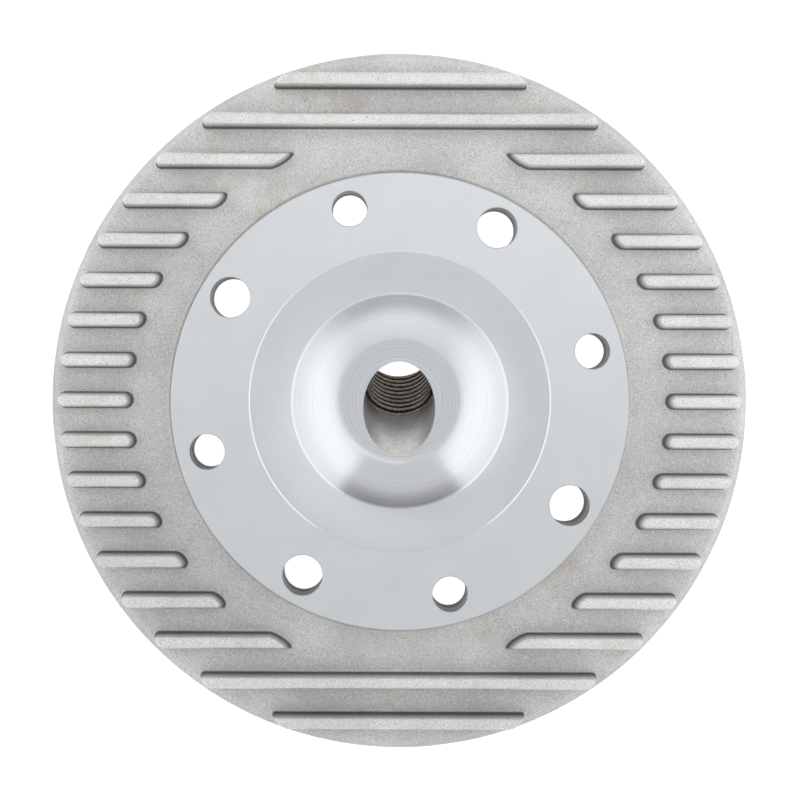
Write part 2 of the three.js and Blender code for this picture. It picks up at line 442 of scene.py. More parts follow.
def turnedAluminium():
    look = {
        "light": (0.85, 0.88, 0.91),
        "dark": (0.79, 0.82, 0.85),
        "ringScale": 6500,
        "hazeScale": 110,
        "fineScale": 4200,
        "recess": 0.92,
        "paintedLightFalloff": (0.93, 1.02),
        "roughness": 0.29,
        "hazeRoughness": 0.08,
        "metallic": 0.9,
        "ringBump": (0.006 * mm, 0.4),
    }
    material, tree, shader, place = newMaterial("turnedAluminium")
    radius = axisDistance(tree, place)
    rings = noiseAt(tree, radius, look["ringScale"], 3, 0.7, "1D")
    haze = noiseAt(tree, place, look["hazeScale"], 5, 0.65)
    tone = weighted(tree, (rings, 0.3), (haze, 0.4), (noiseAt(tree, place, look["fineScale"], 2, 0.6), 0.3))
    colour = mixColour(tree, ramp(tree, tone, [(0.36, 0), (0.64, 1)]), look["dark"], look["light"])
    # the squish band inside the bore line is a shade duller
    recess = smoothStep(tree, radius, boreRadius - nearby, boreRadius, look["recess"], 1.0)
    # painted light falloff: the face is a little darker towards -Y and brighter towards +Y
    paintedFalloff = smoothStep(tree, apart(tree, place)["Y"], -faceRadius, faceRadius, *look["paintedLightFalloff"])
    colour = darkened(tree, colour, maths(tree, "MULTIPLY", recess, paintedFalloff))
    tree.links.new(colour, shader.inputs["Base Color"])
    shader.inputs["Metallic"].default_value = look["metallic"]
    hazy = maths(tree, "MULTIPLY", haze, look["hazeRoughness"])
    tree.links.new(maths(tree, "ADD", look["roughness"], hazy), shader.inputs["Roughness"])
    tree.links.new(bumpFrom(tree, rings, *look["ringBump"]), shader.inputs["Normal"])
    return material


def polishedChamber():
    look = {
        "light": (0.83, 0.85, 0.875),
        "dark": (0.79, 0.81, 0.84),
        "grooves": (0.60, 0.625, 0.655),
        "ringScale": 3200,
        "grooveScale": 4600,
        "floorEdge": (0.98, 1.1),
        "roughness": 0.17,
        "floorRoughness": 0.16,
        "metallic": 0.96,
        "ringBump": (0.003 * mm, 0.35),
        "grooveBump": (0.012 * mm, 0.6),
    }
    material, tree, shader, place = newMaterial("polishedChamber")
    radius = axisDistance(tree, place)
    rings = noiseAt(tree, radius, look["ringScale"], 3, 0.65, "1D")
    colour = mixColour(tree, ramp(tree, rings, [(0.4, 0), (0.6, 1)]), look["dark"], look["light"])
    # the floor keeps the marks of a coarser facing cut
    inside, outside = (domeLook["floorRadius"] * share for share in look["floorEdge"])
    floor = smoothStep(tree, radius, inside, outside, 1.0, 0.0)
    scratches = ramp(tree, noiseAt(tree, radius, look["grooveScale"], 2, 0.6, "1D"), [(0.4, 0), (0.62, 1)])
    colour = mixColour(tree, floor, colour, mixColour(tree, scratches, look["grooves"], look["dark"]))
    tree.links.new(colour, shader.inputs["Base Color"])
    shader.inputs["Metallic"].default_value = look["metallic"]
    rougher = maths(tree, "MULTIPLY", floor, look["floorRoughness"])
    tree.links.new(maths(tree, "ADD", look["roughness"], rougher), shader.inputs["Roughness"])
    smooth = bumpFrom(tree, rings, *look["ringBump"])
    depth = maths(tree, "MULTIPLY", floor, scratches)
    tree.links.new(bumpFrom(tree, depth, *look["grooveBump"], smooth), shader.inputs["Normal"])
    return material


def drilledBore():
    look = {
        "light": (0.36, 0.355, 0.35),
        "dark": (0.13, 0.13, 0.13),
        "markScale": 3400,
        "cloudScale": 500,
        "deep": 0.06,
        "paintedShadowFrom": (6.5 * mm, 4.5 * mm),
        "roughness": 0.5,
        "metallic": 0.7,
        "markBump": (0.03 * mm, 0.6),
    }
    material, tree, shader, place = newMaterial("drilledBore")
    height = apart(tree, place)["Z"]
    marks = noiseAt(tree, height, look["markScale"], 2, 0.6, "1D")
    tone = weighted(tree, (marks, 0.6), (noiseAt(tree, place, look["cloudScale"], 3, 0.6), 0.4))
    colour = mixColour(tree, ramp(tree, tone, [(0.38, 0), (0.62, 1)]), look["dark"], look["light"])
    # painted shade: the lower half is nearly black, and the wall's dark grey above it stands in for shade in
    # the hole too
    lowest, highest = look["paintedShadowFrom"]
    deep = smoothStep(tree, height, faceZ - lowest, faceZ - highest, look["deep"], 1.0)
    tree.links.new(darkened(tree, colour, deep), shader.inputs["Base Color"])
    shader.inputs["Metallic"].default_value = look["metallic"]
    shader.inputs["Roughness"].default_value = look["roughness"]
    tree.links.new(bumpFrom(tree, marks, *look["markBump"]), shader.inputs["Normal"])
    return material


def reamedRelief():
    look = {
        "light": (0.96, 0.95, 0.94),
        "dark": (0.74, 0.73, 0.715),
        "paintedHoleShade": (0.16, 0.15, 0.14),
        "paintedHoleShadeDepth": (8 * mm, 2 * mm),
        "paintedHoleShadeStrength": 0.75,
        "cloudScale": 700,
        "markScale": 5200,
        "sidePaintedShade": 0.45,
        "sideWidth": (2.2 * mm, 6.6 * mm),
        "roughness": 0.34,
        "metallic": 0.05,
        "bump": (0.01 * mm, 0.5),
    }
    material, tree, shader, place = newMaterial("reamedRelief")
    height = apart(tree, place)["Z"]
    cloud = noiseAt(tree, place, look["cloudScale"], 5, 0.7)
    tone = weighted(tree, (cloud, 0.7), (noiseAt(tree, height, look["markScale"], 3, 0.6, "1D"), 0.3))
    # painted light: the near-white colour stands in for the light that falls into the hole
    colour = mixColour(tree, ramp(tree, tone, [(0.36, 0), (0.6, 1)]), look["dark"], look["light"])
    # painted shade darkens the wall towards the thread and to both sides
    lowest, highest = look["paintedHoleShadeDepth"]
    deep = smoothStep(tree, height, chamberFloorZ - lowest, chamberFloorZ - highest,
                      look["paintedHoleShadeStrength"], 0.0)
    colour = mixColour(tree, deep, colour, look["paintedHoleShade"])
    across = maths(tree, "ABSOLUTE", apart(tree, place)["X"])
    middle = smoothStep(tree, across, *look["sideWidth"], 1.0, look["sidePaintedShade"])
    tree.links.new(darkened(tree, colour, middle), shader.inputs["Base Color"])
    shader.inputs["Metallic"].default_value = look["metallic"]
    shader.inputs["Roughness"].default_value = look["roughness"]
    tree.links.new(bumpFrom(tree, tone, *look["bump"]), shader.inputs["Normal"])
    return material


def threadSteel():
    look = {
        "crest": (0.38, 0.33, 0.295),
        "valley": (0.012, 0.010, 0.009),
        "cloudScale": 2600,
        "valleyShadeJitter": 0.5,
        "dirtScale": 4200,
        "dirt": [(0.38, 0.3), (0.5, 0.8), (0.62, 1.3)],
        "roughness": 0.38,
        "metallic": 0.85,
        "bump": (0.01 * mm, 0.4),
    }
    material, tree, shader, place = newMaterial("threadSteel")
    depth = addNode(tree, "ShaderNodeAttribute", attribute_name="threadDepth").outputs["Fac"]
    cloud = noiseAt(tree, place, look["cloudScale"], 3, 0.6)
    # painted shade: near black in the valleys and lighter on the crests, with noise along its edge
    valleyShadeJitter = maths(tree, "MULTIPLY", maths(tree, "SUBTRACT", cloud, 0.5), look["valleyShadeJitter"])
    valleyShadeMask = ramp(tree, maths(tree, "ADD", depth, valleyShadeJitter), [(0.1, 0), (0.55, 1)])
    colour = mixColour(tree, valleyShadeMask, look["crest"], look["valley"])
    dirt = ramp(tree, noiseAt(tree, place, look["dirtScale"], 3, 0.7), look["dirt"])
    tree.links.new(darkened(tree, colour, dirt), shader.inputs["Base Color"])
    shader.inputs["Metallic"].default_value = look["metallic"]
    shader.inputs["Roughness"].default_value = look["roughness"]
    tree.links.new(bumpFrom(tree, cloud, *look["bump"]), shader.inputs["Normal"])
    return material


castMetal = castAluminium()
turnedMetal = turnedAluminium()
chamberMetal = polishedChamber()
boreMetal = drilledBore()
steelMetal = threadSteel()
reliefMetal = reamedRelief()
print("materials made")


# gasket flange: a turned ring on a cast skirt, with eight through holes

flangeLook = {
    "steps": 288,
    "edgeBreak": 0.15 * mm,
    "boreEdge": (0.26 * mm, 0.18 * mm),
    "skirtDraft": 0.5 * mm,
    "skirtFillet": 1.2 * mm,
    "holeRadius": {"small": 3.5 * mm, "large": 4.0 * mm},
    "holeChamfer": 0.1 * mm,
    "holeSteps": 72,
    "drillLength": 14 * mm,
    "wallNormal": 0.3,
}


def buildFlange():
    edge = flangeLook["edgeBreak"]
    lineWidth, lineDepth = flangeLook["boreEdge"]
    fillet = flangeLook["skirtFillet"]
    skirtFoot = faceRadius + flangeLook["skirtDraft"]
    outline = [
        (boreRadius, seatZ),
        (boreRadius, faceZ - lineDepth),
        (boreRadius + lineWidth, faceZ),
        (faceRadius - edge, faceZ),
        (faceRadius, faceZ - edge),
    ]
    outline += arc(skirtFoot + fillet, deckTopZ + fillet, fillet, 180, 270, 8)
    outline.append((skirtFoot + fillet, seatZ))
    piece = newPiece("gasketFlange", turnedMesh("gasketFlange", outline, flangeLook["steps"]),
                     [turnedMetal, castMetal, boreMetal, chamberMetal])
    chamfer = flangeLook["holeChamfer"]
    bars = []
    for size, centres in studHoles.items():
        radius = flangeLook["holeRadius"][size]
        drill = [(0, chamfer), (radius + 2 * chamfer, chamfer), (radius, -chamfer),
                 (radius, -flangeLook["drillLength"]), (0, -flangeLook["drillLength"])]
        for centre in centres:
            bar = turnedMesh("drill", drill, flangeLook["holeSteps"])
            bar.transform(Matrix.Translation((centre.x, centre.y, faceZ)))
            bars.append(bar)
    cutWith(piece, newPiece("drills", joinMeshes("drills", bars), []))
    tidyMesh(piece.data)
    holes = [c for centres in studHoles.values() for c in centres]
    reach = max(flangeLook["holeRadius"].values()) + nearby

    def whichMetal(centre, normal):
        inHole = any(math.hypot(centre.x - c.x, centre.y - c.y) < reach for c in holes)
        if inHole and abs(normal.z) < flangeLook["wallNormal"]:
            return 2
        if math.hypot(centre.x, centre.y) < boreRadius + lineWidth and centre.z > faceZ - lineDepth:
            return 3
        beyond = math.hypot(centre.x, centre.y) > faceRadius - 2 * edge and centre.z < faceZ - 2 * edge
        return 1 if beyond or centre.z < seatZ + edge else 0

    paintFaces(piece.data, whichMetal)
    return piece


gasketFlange = buildFlange()
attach(gasketFlange, "root")
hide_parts(*namedLike("gasket_flange_"))
print("gasket flange made")


# combustion dome: squish band, bowl and floor, with the leaning plug hole

def insertRoom():
    # the stepped hole for insert and plug, which stops short of the chamber's floor
    start, seat, end = domeLook["reliefLength"], domeLook["seatDepth"], domeLook["throughDepth"]
    outline = [(0, start), (domeLook["insertRadius"], start), (domeLook["insertRadius"], seat),
               (domeLook["pocketRadius"], seat), (domeLook["pocketRadius"], end), (0, end)]
    room = newPiece("room", turnedMesh("room", outline, domeLook["holeSteps"], plugAxis, plugFloor), [])
    cutWith(room, floorSkin())
    return room


def floorSkin():
    foot = Vector((0, 0, domeLook["insertTopZ"]))
    return newPiece("skin", solidCylinder("skin", discRadius, blockSteps, foot, upright, faceZ), [])


def bowlOutline():
    # a fine bright line at the rim, then a bowl that flattens out towards its floor
    rimZ = faceZ - domeLook["squishDepth"]
    width = domeLook["rimRadius"] - domeLook["floorRadius"]
    lineWidth, lineDepth = domeLook["rimLine"]
    depth = rimZ - lineDepth - chamberFloorZ
    points = [(domeLook["rimRadius"] + lineWidth, rimZ)]
    for i in range(domeLook["bowlSteps"], -1, -1):
        share = (i / domeLook["bowlSteps"]) ** domeLook["pointSpread"]
        points.append((domeLook["floorRadius"] + width * share,
                       chamberFloorZ + depth * share ** domeLook["bowlCurve"]))
    return points


def buildDome():
    fillet = domeLook["underFillet"]
    outline = [(0, domeBottomZ)]
    outline += arc(boreRadius - fillet, domeBottomZ + fillet, fillet, -90, 0, 8)
    outline.append((boreRadius, faceZ - flangeLook["boreEdge"][1]))
    outline += bowlOutline()
    outline.append((0, chamberFloorZ))
    piece = newPiece("combustionDome", turnedMesh("combustionDome", outline, domeLook["steps"]),
                     [chamberMetal, turnedMetal, castMetal, reliefMetal])
    overrun = domeLook["overrun"]
    relief = solidCylinder("relief", domeLook["reliefRadius"], domeLook["holeSteps"],
                           plugFloor - plugAxis * overrun, plugAxis,
                           overrun + domeLook["reliefLength"] + domeLook["reliefOverlap"])
    cutWith(piece, newPiece("cutter", relief, []))
    cutWith(piece, insertRoom())
    through = solidCylinder("through", insertLook["majorRadius"], domeLook["holeSteps"], plugFloor, plugAxis,
                            domeLook["throughDepth"])
    cutWith(piece, newPiece("cutter", through, []))
    tidyMesh(piece.data)

    def whichMetal(centre, normal):
        radius = math.hypot(centre.x, centre.y)
        if centre.z < chamberFloorZ - hair:
            offAxis = (centre - plugFloor).cross(plugAxis).length
            return 3 if offAxis < domeLook["reliefRadius"] + nearby else 2
        return 1 if radius > domeLook["rimRadius"] + domeLook["rimLine"][0] else 0

    paintFaces(piece.data, whichMetal)
    return piece


combustionDome = buildDome()
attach(combustionDome, "root")
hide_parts("combustion_dome")
print("combustion dome made")


# threaded insert, and the plug boss round it

def threadRadius(along, turnShare, length):
    # a nut thread: its crest is its smallest radius, and both ends open out to the full width
    phase = (along / insertLook["pitch"] - turnShare) % 1
    crest = insertLook["crestShare"]
    major, minor = insertLook["majorRadius"], insertLook["minorRadius"]
    flank = (1 - crest) / 2 * insertLook["flankShare"]
    if phase < crest:
        share = 0
    elif phase < crest + flank:
        share = (phase - crest) / flank
    elif phase < 1 - flank:
        share = 1
    else:
        share = (1 - phase) / flank
    radius = minor + (major - minor) * share
    lead = insertLook["leadIn"]
    nearEnd = min(along, length - along)
    return max(radius, major + lead - nearEnd) if nearEnd < lead + major - minor else radius


def threadMesh(start, length):
    # a grid of rows along the hole and steps round it, closed by a plain outer wall
    turnSteps, pitchSteps, pitch = insertLook["turnSteps"], insertLook["pitchSteps"], insertLook["pitch"]
    low, high = -pitchSteps, (math.ceil(length / pitch) + 1) * pitchSteps
    bm = bmesh.new()
    place = leaning(plugAxis, plugFloor + plugAxis * start)
    grid = {}
    outer = {}
    for i in range(turnSteps):
        share = i / turnSteps
        turn = 2 * math.pi * share
        for j in range(low, high + 1):
            along = min(length, max(0, pitch * (j / pitchSteps + share)))
            grid[i, j] = bm.verts.new(place @ ringPoint(threadRadius(along, share, length), turn, along))
    for i in range(turnSteps):
        turn = 2 * math.pi * i / turnSteps
        for end, along in (("start", 0), ("end", length)):
            outer[i, end] = bm.verts.new(place @ ringPoint(domeLook["insertRadius"], turn, along))
    for i in range(turnSteps):
        ahead = (i + 1) % turnSteps
        # after a whole turn the helix has climbed by one pitch
        shift = pitchSteps if ahead == 0 else 0
        for j in range(low, high):
            if (ahead, j + shift + 1) in grid:
                bm.faces.new((grid[i, j], grid[i, j + 1],
                              grid[ahead, j + 1 + shift], grid[ahead, j + shift]))
        bm.faces.new((grid[i, low], grid[ahead, low + shift], outer[ahead, "start"], outer[i, "start"]))
        last = high - pitchSteps
        bm.faces.new((grid[i, last], outer[i, "end"], outer[ahead, "end"], grid[ahead, last + shift]))
        bm.faces.new((outer[i, "start"], outer[ahead, "start"], outer[ahead, "end"], outer[i, "end"]))
    mesh = bpy.data.meshes.new("threadInsert")
    bm.to_mesh(mesh)
    bm.free()
    return mesh


def markDepth(mesh, start):
    # 0 on the crests and 1 in the valleys, for the painted shade in the valleys
    minor, major = insertLook["minorRadius"], insertLook["majorRadius"]
    values = []
    for vertex in mesh.vertices:
        away = vertex.co - plugFloor
        fromEnd = away.dot(plugAxis) - start
        groove = (away.cross(plugAxis).length - minor) / (major - minor)
        values.append(min(1, max(0, groove)) * min(1, max(0, fromEnd / insertLook["cleanEnd"])))
    mesh.attributes.new("threadDepth", "FLOAT", "POINT").data.foreach_set("value", values)


def buildInsert():
    start = domeLook["reliefLength"]
    merge, sharp = insertLook["mergeDistance"], insertLook["sharpAngle"]
    mesh = threadMesh(start, domeLook["seatDepth"] - start)
    tidyMesh(mesh, merge, sharp)
    piece = newPiece("threadInsert", mesh, [steelMetal])
    cutWith(piece, floorSkin())
    tidyMesh(piece.data, merge, sharp)
    markDepth(piece.data, start)
    return piece


threadInsert = buildInsert()
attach(threadInsert, "root")
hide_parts("plug_thread_insert")
print("threaded insert made")

bossLook = {"radius": 12.5 * mm, "edge": 0.8 * mm, "steps": 96}


def buildBoss():
    inner, outer, edge = domeLook["insertRadius"], bossLook["radius"], bossLook["edge"]
    length = domeLook["seatDepth"]
    outline = [(inner, 0), (outer, 0), (outer, length - edge)]
    outline += arc(outer - edge, length - edge, edge, 0, 90, 5)[1:]
    outline.append((inner, length))
    mesh = turnedMesh("plugBoss", outline, bossLook["steps"], axis=plugAxis, foot=plugFloor)
    piece = newPiece("plugBoss", mesh, [castMetal])
    foot = Vector((0, 0, domeBottomZ))
    block = solidCylinder("block", discRadius, blockSteps, foot, upright, faceZ)
    cutWith(piece, newPiece("block", block, []))
    tidyMesh(piece.data)
    return piece


plugBoss = buildBoss()
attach(plugBoss, "root")
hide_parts("plug_boss")
print("plug boss made")


# cast disc with a rounded rim and a slightly wavy skin

deckLook = {
    "underFlange": 0.5 * mm,
    "steps": 720,
    "rings": 40,
    "rimRounding": 2 * mm,
    "rimSteps": 14,
    "waveHeight": 0.05 * mm,
    "waveSize": 7 * mm,
    "grainHeight": 0.025 * mm,
    "grainSize": 0.9 * mm,
}


def buildDeck():
    inner = faceRadius - deckLook["underFlange"]
    rim = deckLook["rimRounding"]
    rings = deckLook["rings"]
    flat = [inner + (discRadius - rim - inner) * i / rings for i in range(rings)]
    outline = [(r, deckTopZ) for r in flat]
    outline += arc(discRadius - rim, deckTopZ - rim, rim, 90, -90, deckLook["rimSteps"])
    outline += [(r, deckBottomZ) for r in reversed(flat[::4])]
    mesh = turnedMesh("castDeck", outline, deckLook["steps"])
    normals = [vertex.normal.copy() for vertex in mesh.vertices]
    for vertex, normal in zip(mesh.vertices, normals):
        wave = noise.noise(vertex.co / deckLook["waveSize"]) * deckLook["waveHeight"]
        grain = noise.noise(vertex.co / deckLook["grainSize"]) * deckLook["grainHeight"]
        vertex.co += normal * (wave + grain - deckLook["waveHeight"] / 2)
    mesh.update()
    return newPiece("castDeck", mesh, [castMetal])


castDeck = buildDeck()
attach(castDeck, "root")
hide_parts("deck_left", "deck_right")
print("cast deck made")


# ribs and fins: one geometry nodes tree makes every cast bar from its two ends

def curveNode(tree, value, points):
    node = addNode(tree, "ShaderNodeFloatCurve", inputs={"Value": value})
    curve = node.mapping.curves[0]
    while len(curve.points) < len(points):
        curve.points.new(0.5, 0.5)
    for point, (x, y) in zip(curve.points, points):
        point.location = (x, y)
        point.handle_type = "VECTOR"
    node.mapping.update()
    return node.outputs[0]


barRing = 49  # vertices round a bar, the last one lying on the first
barMerge = 2e-6
barSharpAngle = 40


def barTree(name, profile):
    # profile: (half width share, height share) from the buried middle, round the foot, to the crown line
    tree = bpy.data.node_groups.new(name, "GeometryNodeTree")
    sockets = [
        ("Bars", "INPUT", "NodeSocketGeometry"),
        ("Half Width", "INPUT", "NodeSocketFloat"),
        ("Height", "INPUT", "NodeSocketFloat"),
        ("Outline Steps", "INPUT", "NodeSocketInt"),
        ("Unevenness", "INPUT", "NodeSocketFloat"),
        ("Seed", "INPUT", "NodeSocketInt"),
        ("Metal", "INPUT", "NodeSocketMaterial"),
        ("Solid", "OUTPUT", "NodeSocketGeometry"),
    ]
    for label, direction, kind in sockets:
        tree.interface.new_socket(label, in_out=direction, socket_type=kind)
    given = tree.nodes.new("NodeGroupInput").outputs
    steps = len(profile) - 1

    def calc(operation, *values):
        return maths(tree, operation, *values)

    def stored(label):
        node = addNode(tree, "GeometryNodeInputNamedAttribute", data_type="FLOAT")
        node.inputs["Name"].default_value = label
        return node.outputs["Attribute"]

    def keep(geometry, label, value):
        node = addNode(tree, "GeometryNodeStoreNamedAttribute", data_type="FLOAT", domain="POINT",
                       inputs={"Geometry": geometry, "Name": label, "Value": value})
        return node.outputs["Geometry"]

    grid = addNode(tree, "GeometryNodeMeshGrid",
                   inputs={"Size X": 1.0, "Size Y": 1.0, "Vertices X": given["Outline Steps"],
                           "Vertices Y": steps + 1})
    position = tree.nodes.new("GeometryNodeInputPosition").outputs[0]
    where = addNode(tree, "ShaderNodeSeparateXYZ", inputs={0: position})
    skin = keep(grid.outputs["Mesh"], "ringShare", calc("ADD", where.outputs["X"], 0.5))
    skin = keep(skin, "profileShare", calc("ADD", where.outputs["Y"], 0.5))
    copies = addNode(tree, "GeometryNodeInstanceOnPoints",
                     inputs={"Points": given["Bars"], "Instance": skin})
    loose = addNode(tree, "GeometryNodeRealizeInstances", inputs={"Geometry": copies.outputs["Instances"]})

    # a slightly different width and height for each bar
    chance = addNode(tree, "FunctionNodeRandomValue", data_type="FLOAT",
                     inputs={"ID": stored("barNumber"), "Seed": given["Seed"]})
    spread = calc("MULTIPLY", calc("SUBTRACT", chance.outputs[1], 0.5), given["Unevenness"])
    widths = [(i / steps, width) for i, (width, height) in enumerate(profile)]
    heights = [(i / steps, height) for i, (width, height) in enumerate(profile)]
    widthShare = curveNode(tree, stored("profileShare"), widths)
    heightShare = curveNode(tree, stored("profileShare"), heights)
    halfWidth = calc("MULTIPLY", widthShare, calc("MULTIPLY", given["Half Width"], calc("ADD", 1.0, spread)))
    # half a step on, so that no corner lies where the two ends part
    halfStep = 0.5 / (barRing - 1)
    turn = calc("MULTIPLY", calc("ADD", stored("ringShare"), halfStep), 2 * math.pi)
    cosine = calc("COSINE", turn)
    atEnd = calc("GREATER_THAN", cosine, 0.0)
    offY = calc("MULTIPLY", halfWidth, calc("SINE", turn))
    offX = calc("MULTIPLY", halfWidth, cosine)

    def along(endX, circle, isFollowing, slope, inwards):
        # the end's round centre, then its lean along the circle that it ends on
        drawnBack = calc("MULTIPLY", slope, calc("MAXIMUM", heightShare, 0.0))
        centreX = calc("ADD", endX, calc("MULTIPLY", calc("ADD", given["Half Width"], drawnBack), inwards))
        y = calc("ADD", stored("rowY"), offY)
        deep = calc("SUBTRACT", calc("MULTIPLY", circle, circle), calc("MULTIPLY", y, y))
        here = calc("SQRT", calc("MAXIMUM", deep, 0.0))
        nominal = calc("ABSOLUTE", endX)
        lean = calc("MULTIPLY", calc("SUBTRACT", here, nominal), calc("SIGN", endX))
        return calc("ADD", centreX, calc("MULTIPLY", lean, isFollowing))

    fromX = along(stored("fromX"), stored("fromCircle"), stored("fromFollows"), stored("fromSlope"), 1.0)
    toX = along(stored("toX"), stored("toCircle"), stored("toFollows"), stored("toSlope"), -1.0)
    pick = calc("ADD", calc("MULTIPLY", toX, atEnd), calc("MULTIPLY", fromX, calc("SUBTRACT", 1.0, atEnd)))
    x = calc("ADD", pick, offX)
    y = calc("ADD", stored("rowY"), offY)
    z = calc("ADD", stored("baseZ"), calc("MULTIPLY", heightShare, given["Height"]))
    place = addNode(tree, "ShaderNodeCombineXYZ", inputs={"X": x, "Y": y, "Z": z})
    moved = addNode(tree, "GeometryNodeSetPosition",
                    inputs={"Geometry": loose.outputs["Geometry"], "Position": place.outputs[0]})
    merged = addNode(tree, "GeometryNodeMergeByDistance",
                     inputs={"Geometry": moved.outputs["Geometry"], "Distance": barMerge})
    whole = addNode(tree, "GeometryNodeRealizeInstances", inputs={"Geometry": merged.outputs["Geometry"]})
    coated = addNode(tree, "GeometryNodeSetMaterial",
                     inputs={"Geometry": whole.outputs["Geometry"], "Material": given["Metal"]})
    out = tree.nodes.new("NodeGroupOutput")
    tree.links.new(coated.outputs["Geometry"], out.inputs["Solid"])
    return tree


def castBars(name, bars, profile, values):
    # bars: one dictionary for each bar, with its ends, row and base height
    mesh = bpy.data.meshes.new(name + "Guides")
    mesh.from_pydata([(0, 0, 0)] * len(bars), [], [])
    for label in bars[0]:
        layer = mesh.attributes.new(label, "FLOAT", "POINT")
        layer.data.foreach_set("value", [bar[label] for bar in bars])
    piece = newPiece(name, mesh, [])
    tree = barTree(name + "Tree", profile)
    modifier = piece.modifiers.new("bars", "NODES")
    modifier.node_group = tree
    for item in tree.interface.items_tree:
        if item.in_out == "INPUT" and item.name in values:
            modifier[item.identifier] = values[item.name]
    made = bpy.data.meshes.new_from_object(piece.evaluated_get(bpy.context.evaluated_depsgraph_get()))
    piece.modifiers.clear()
    piece.data = made
    made.name = name
    bpy.data.meshes.remove(mesh)
    tidyMesh(made, barMerge, barSharpAngle)
    if not made.materials:
        made.materials.append(values["Metal"])
    return piece


def barBetween(number, fromX, toX, rowY, baseZ, fromFollows, toFollows, fromSlope=0, toSlope=0):
    # an end follows the circle it lies on, all the way (1), not at all (0) or in between,
    # and its top draws back by its slope
    return {
        "barNumber": number, "fromX": fromX, "toX": toX, "rowY": rowY, "baseZ": baseZ,
        "fromCircle": math.hypot(fromX, rowY), "toCircle": math.hypot(toX, rowY),
        "fromFollows": fromFollows, "toFollows": toFollows, "fromSlope": fromSlope, "toSlope": toSlope,
    }


ribLook = {
    "footWidth": 4.0 * mm,
    "unevenness": 0.06,
    "seed": 4,
    "shortOfRim": 0.1 * mm,
    "shortOfFace": 0.1 * mm,
    "lean": {"inner": 0.6, "outer": 0.35},
    "slope": {"inner": 0.45 * mm, "outer": 0.15 * mm},
    # half width and height as shares of the foot and the rib's height
    "profile": [
        (0.0, -0.09), (1.0, -0.09), (1.0, 0.0), (0.90, 0.02), (0.82, 0.06), (0.76, 0.14), (0.72, 0.35),
        (0.68, 0.6), (0.63, 0.82), (0.58, 0.91), (0.49, 0.955), (0.36, 0.98), (0.2, 0.995), (0.0, 1.0),
    ],
}


def buildRibs():
    # the middle row's ends give the two circles that all ribs run between
    inner = -boxOf("deck_rib_mid_left")[1].x + ribLook["shortOfFace"]
    outer = -boxOf("deck_rib_mid_left")[0].x - ribLook["shortOfRim"]
    bars = []
    for number, name in enumerate(namedLike("deck_rib_")):
        low, high = boxOf(name)
        rowY = (low.y + high.y) / 2
        ends = {}
        for label, x in (("from", low.x), ("to", high.x)):
            side = "outer" if math.hypot(x, rowY) > (inner + outer) / 2 else "inner"
            reach = math.sqrt((outer if side == "outer" else inner) ** 2 - rowY ** 2)
            ends[label] = math.copysign(reach, x), ribLook["lean"][side], ribLook["slope"][side]
        places, leans, slopes = zip(ends["from"], ends["to"])
        bars.append(barBetween(number, *places, rowY, deckTopZ, *leans, *slopes))
    return castBars("deckRibs", bars, ribLook["profile"], {
        "Half Width": ribLook["footWidth"] / 2,
        "Height": ribTopZ - deckTopZ,
        "Outline Steps": barRing,
        "Unevenness": ribLook["unevenness"],
        "Seed": ribLook["seed"],
        "Metal": castMetal,
    })


deckRibs = buildRibs()
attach(deckRibs, "root")
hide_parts(*namedLike("deck_rib_"))
print("deck ribs made:", len(deckRibs.data.polygons), "faces")


finLook = {
    "rootWidth": 5.0 * mm,
    "tipHeight": 1 * mm,
    "outerShare": 0.9,
    "domeOverlap": (0.5 * mm, 0.3 * mm),
    "domeRoom": 12 * mm,
    "bossOverlap": 0.4 * mm,
    "roomSteps": 96,
    "unevenness": 0.03,
    "seed": 11,
    "profile": [
        (0.0, -0.03), (1.0, -0.03), (1.0, 0.0), (0.80, 0.008), (0.68, 0.022), (0.62, 0.045), (0.60, 0.08),
        (0.52, 0.5), (0.43, 0.93), (0.41, 0.96), (0.34, 0.985), (0.2, 0.997), (0.0, 1.0),
    ],
}


def stubBoxes():
    # the short fins beyond the side nut pockets belong to the deck's nodes: find their tips there
    rowStep = boxOf("deck_rib_p1_left")[0].y - boxOf("deck_rib_mid_left")[0].y
    spans = {}
    for node in ("deck_left", "deck_right"):
        for vertex in frame["nodes"][node].data.vertices:
            if vertex.co.z < finLook["tipHeight"]:
                row = (round(vertex.co.y / rowStep), vertex.co.x > 0)
                low, high = spans.get(row, (1, -1))
                spans[row] = (min(low, vertex.co.x), max(high, vertex.co.x))
    return [(low, high, row * rowStep) for (row, side), (low, high) in sorted(spans.items())]


def buildFins():
    spans = []
    for name in namedLike("cooling_fin_"):
        low, high = boxOf(name)
        spans.append((low.x, high.x, (low.y + high.y) / 2))
    spans += stubBoxes()
    bars = []
    for number, (fromX, toX, rowY) in enumerate(spans):
        leans = []
        for x in (fromX, toX):
            leans.append(1.0 if math.hypot(x, rowY) > finLook["outerShare"] * discRadius else 0.0)
        bars.append(barBetween(number, fromX, toX, rowY, deckBottomZ, *leans))
    piece = castBars("coolingFins", bars, finLook["profile"], {
        "Half Width": finLook["rootWidth"] / 2,
        "Height": -deckBottomZ,
        "Outline Steps": barRing,
        "Unevenness": finLook["unevenness"],
        "Seed": finLook["seed"],
        "Metal": castMetal,
    })
    # the fins run a little way into the dome and the boss, and no further
    besideDome, underDome = finLook["domeOverlap"]
    foot = Vector((0, 0, domeBottomZ + underDome))
    steps = finLook["roomSteps"]
    domeRoom = solidCylinder("domeRoom", boreRadius - besideDome, steps, foot, upright, finLook["domeRoom"])
    bossRoom = solidCylinder("bossRoom", bossLook["radius"] - finLook["bossOverlap"], steps, plugFloor,
                             plugAxis, domeLook["seatDepth"])
    for room in (domeRoom, bossRoom):
        cutWith(piece, newPiece("room", room, []))
    tidyMesh(piece.data, barMerge, barSharpAngle)
    return piece


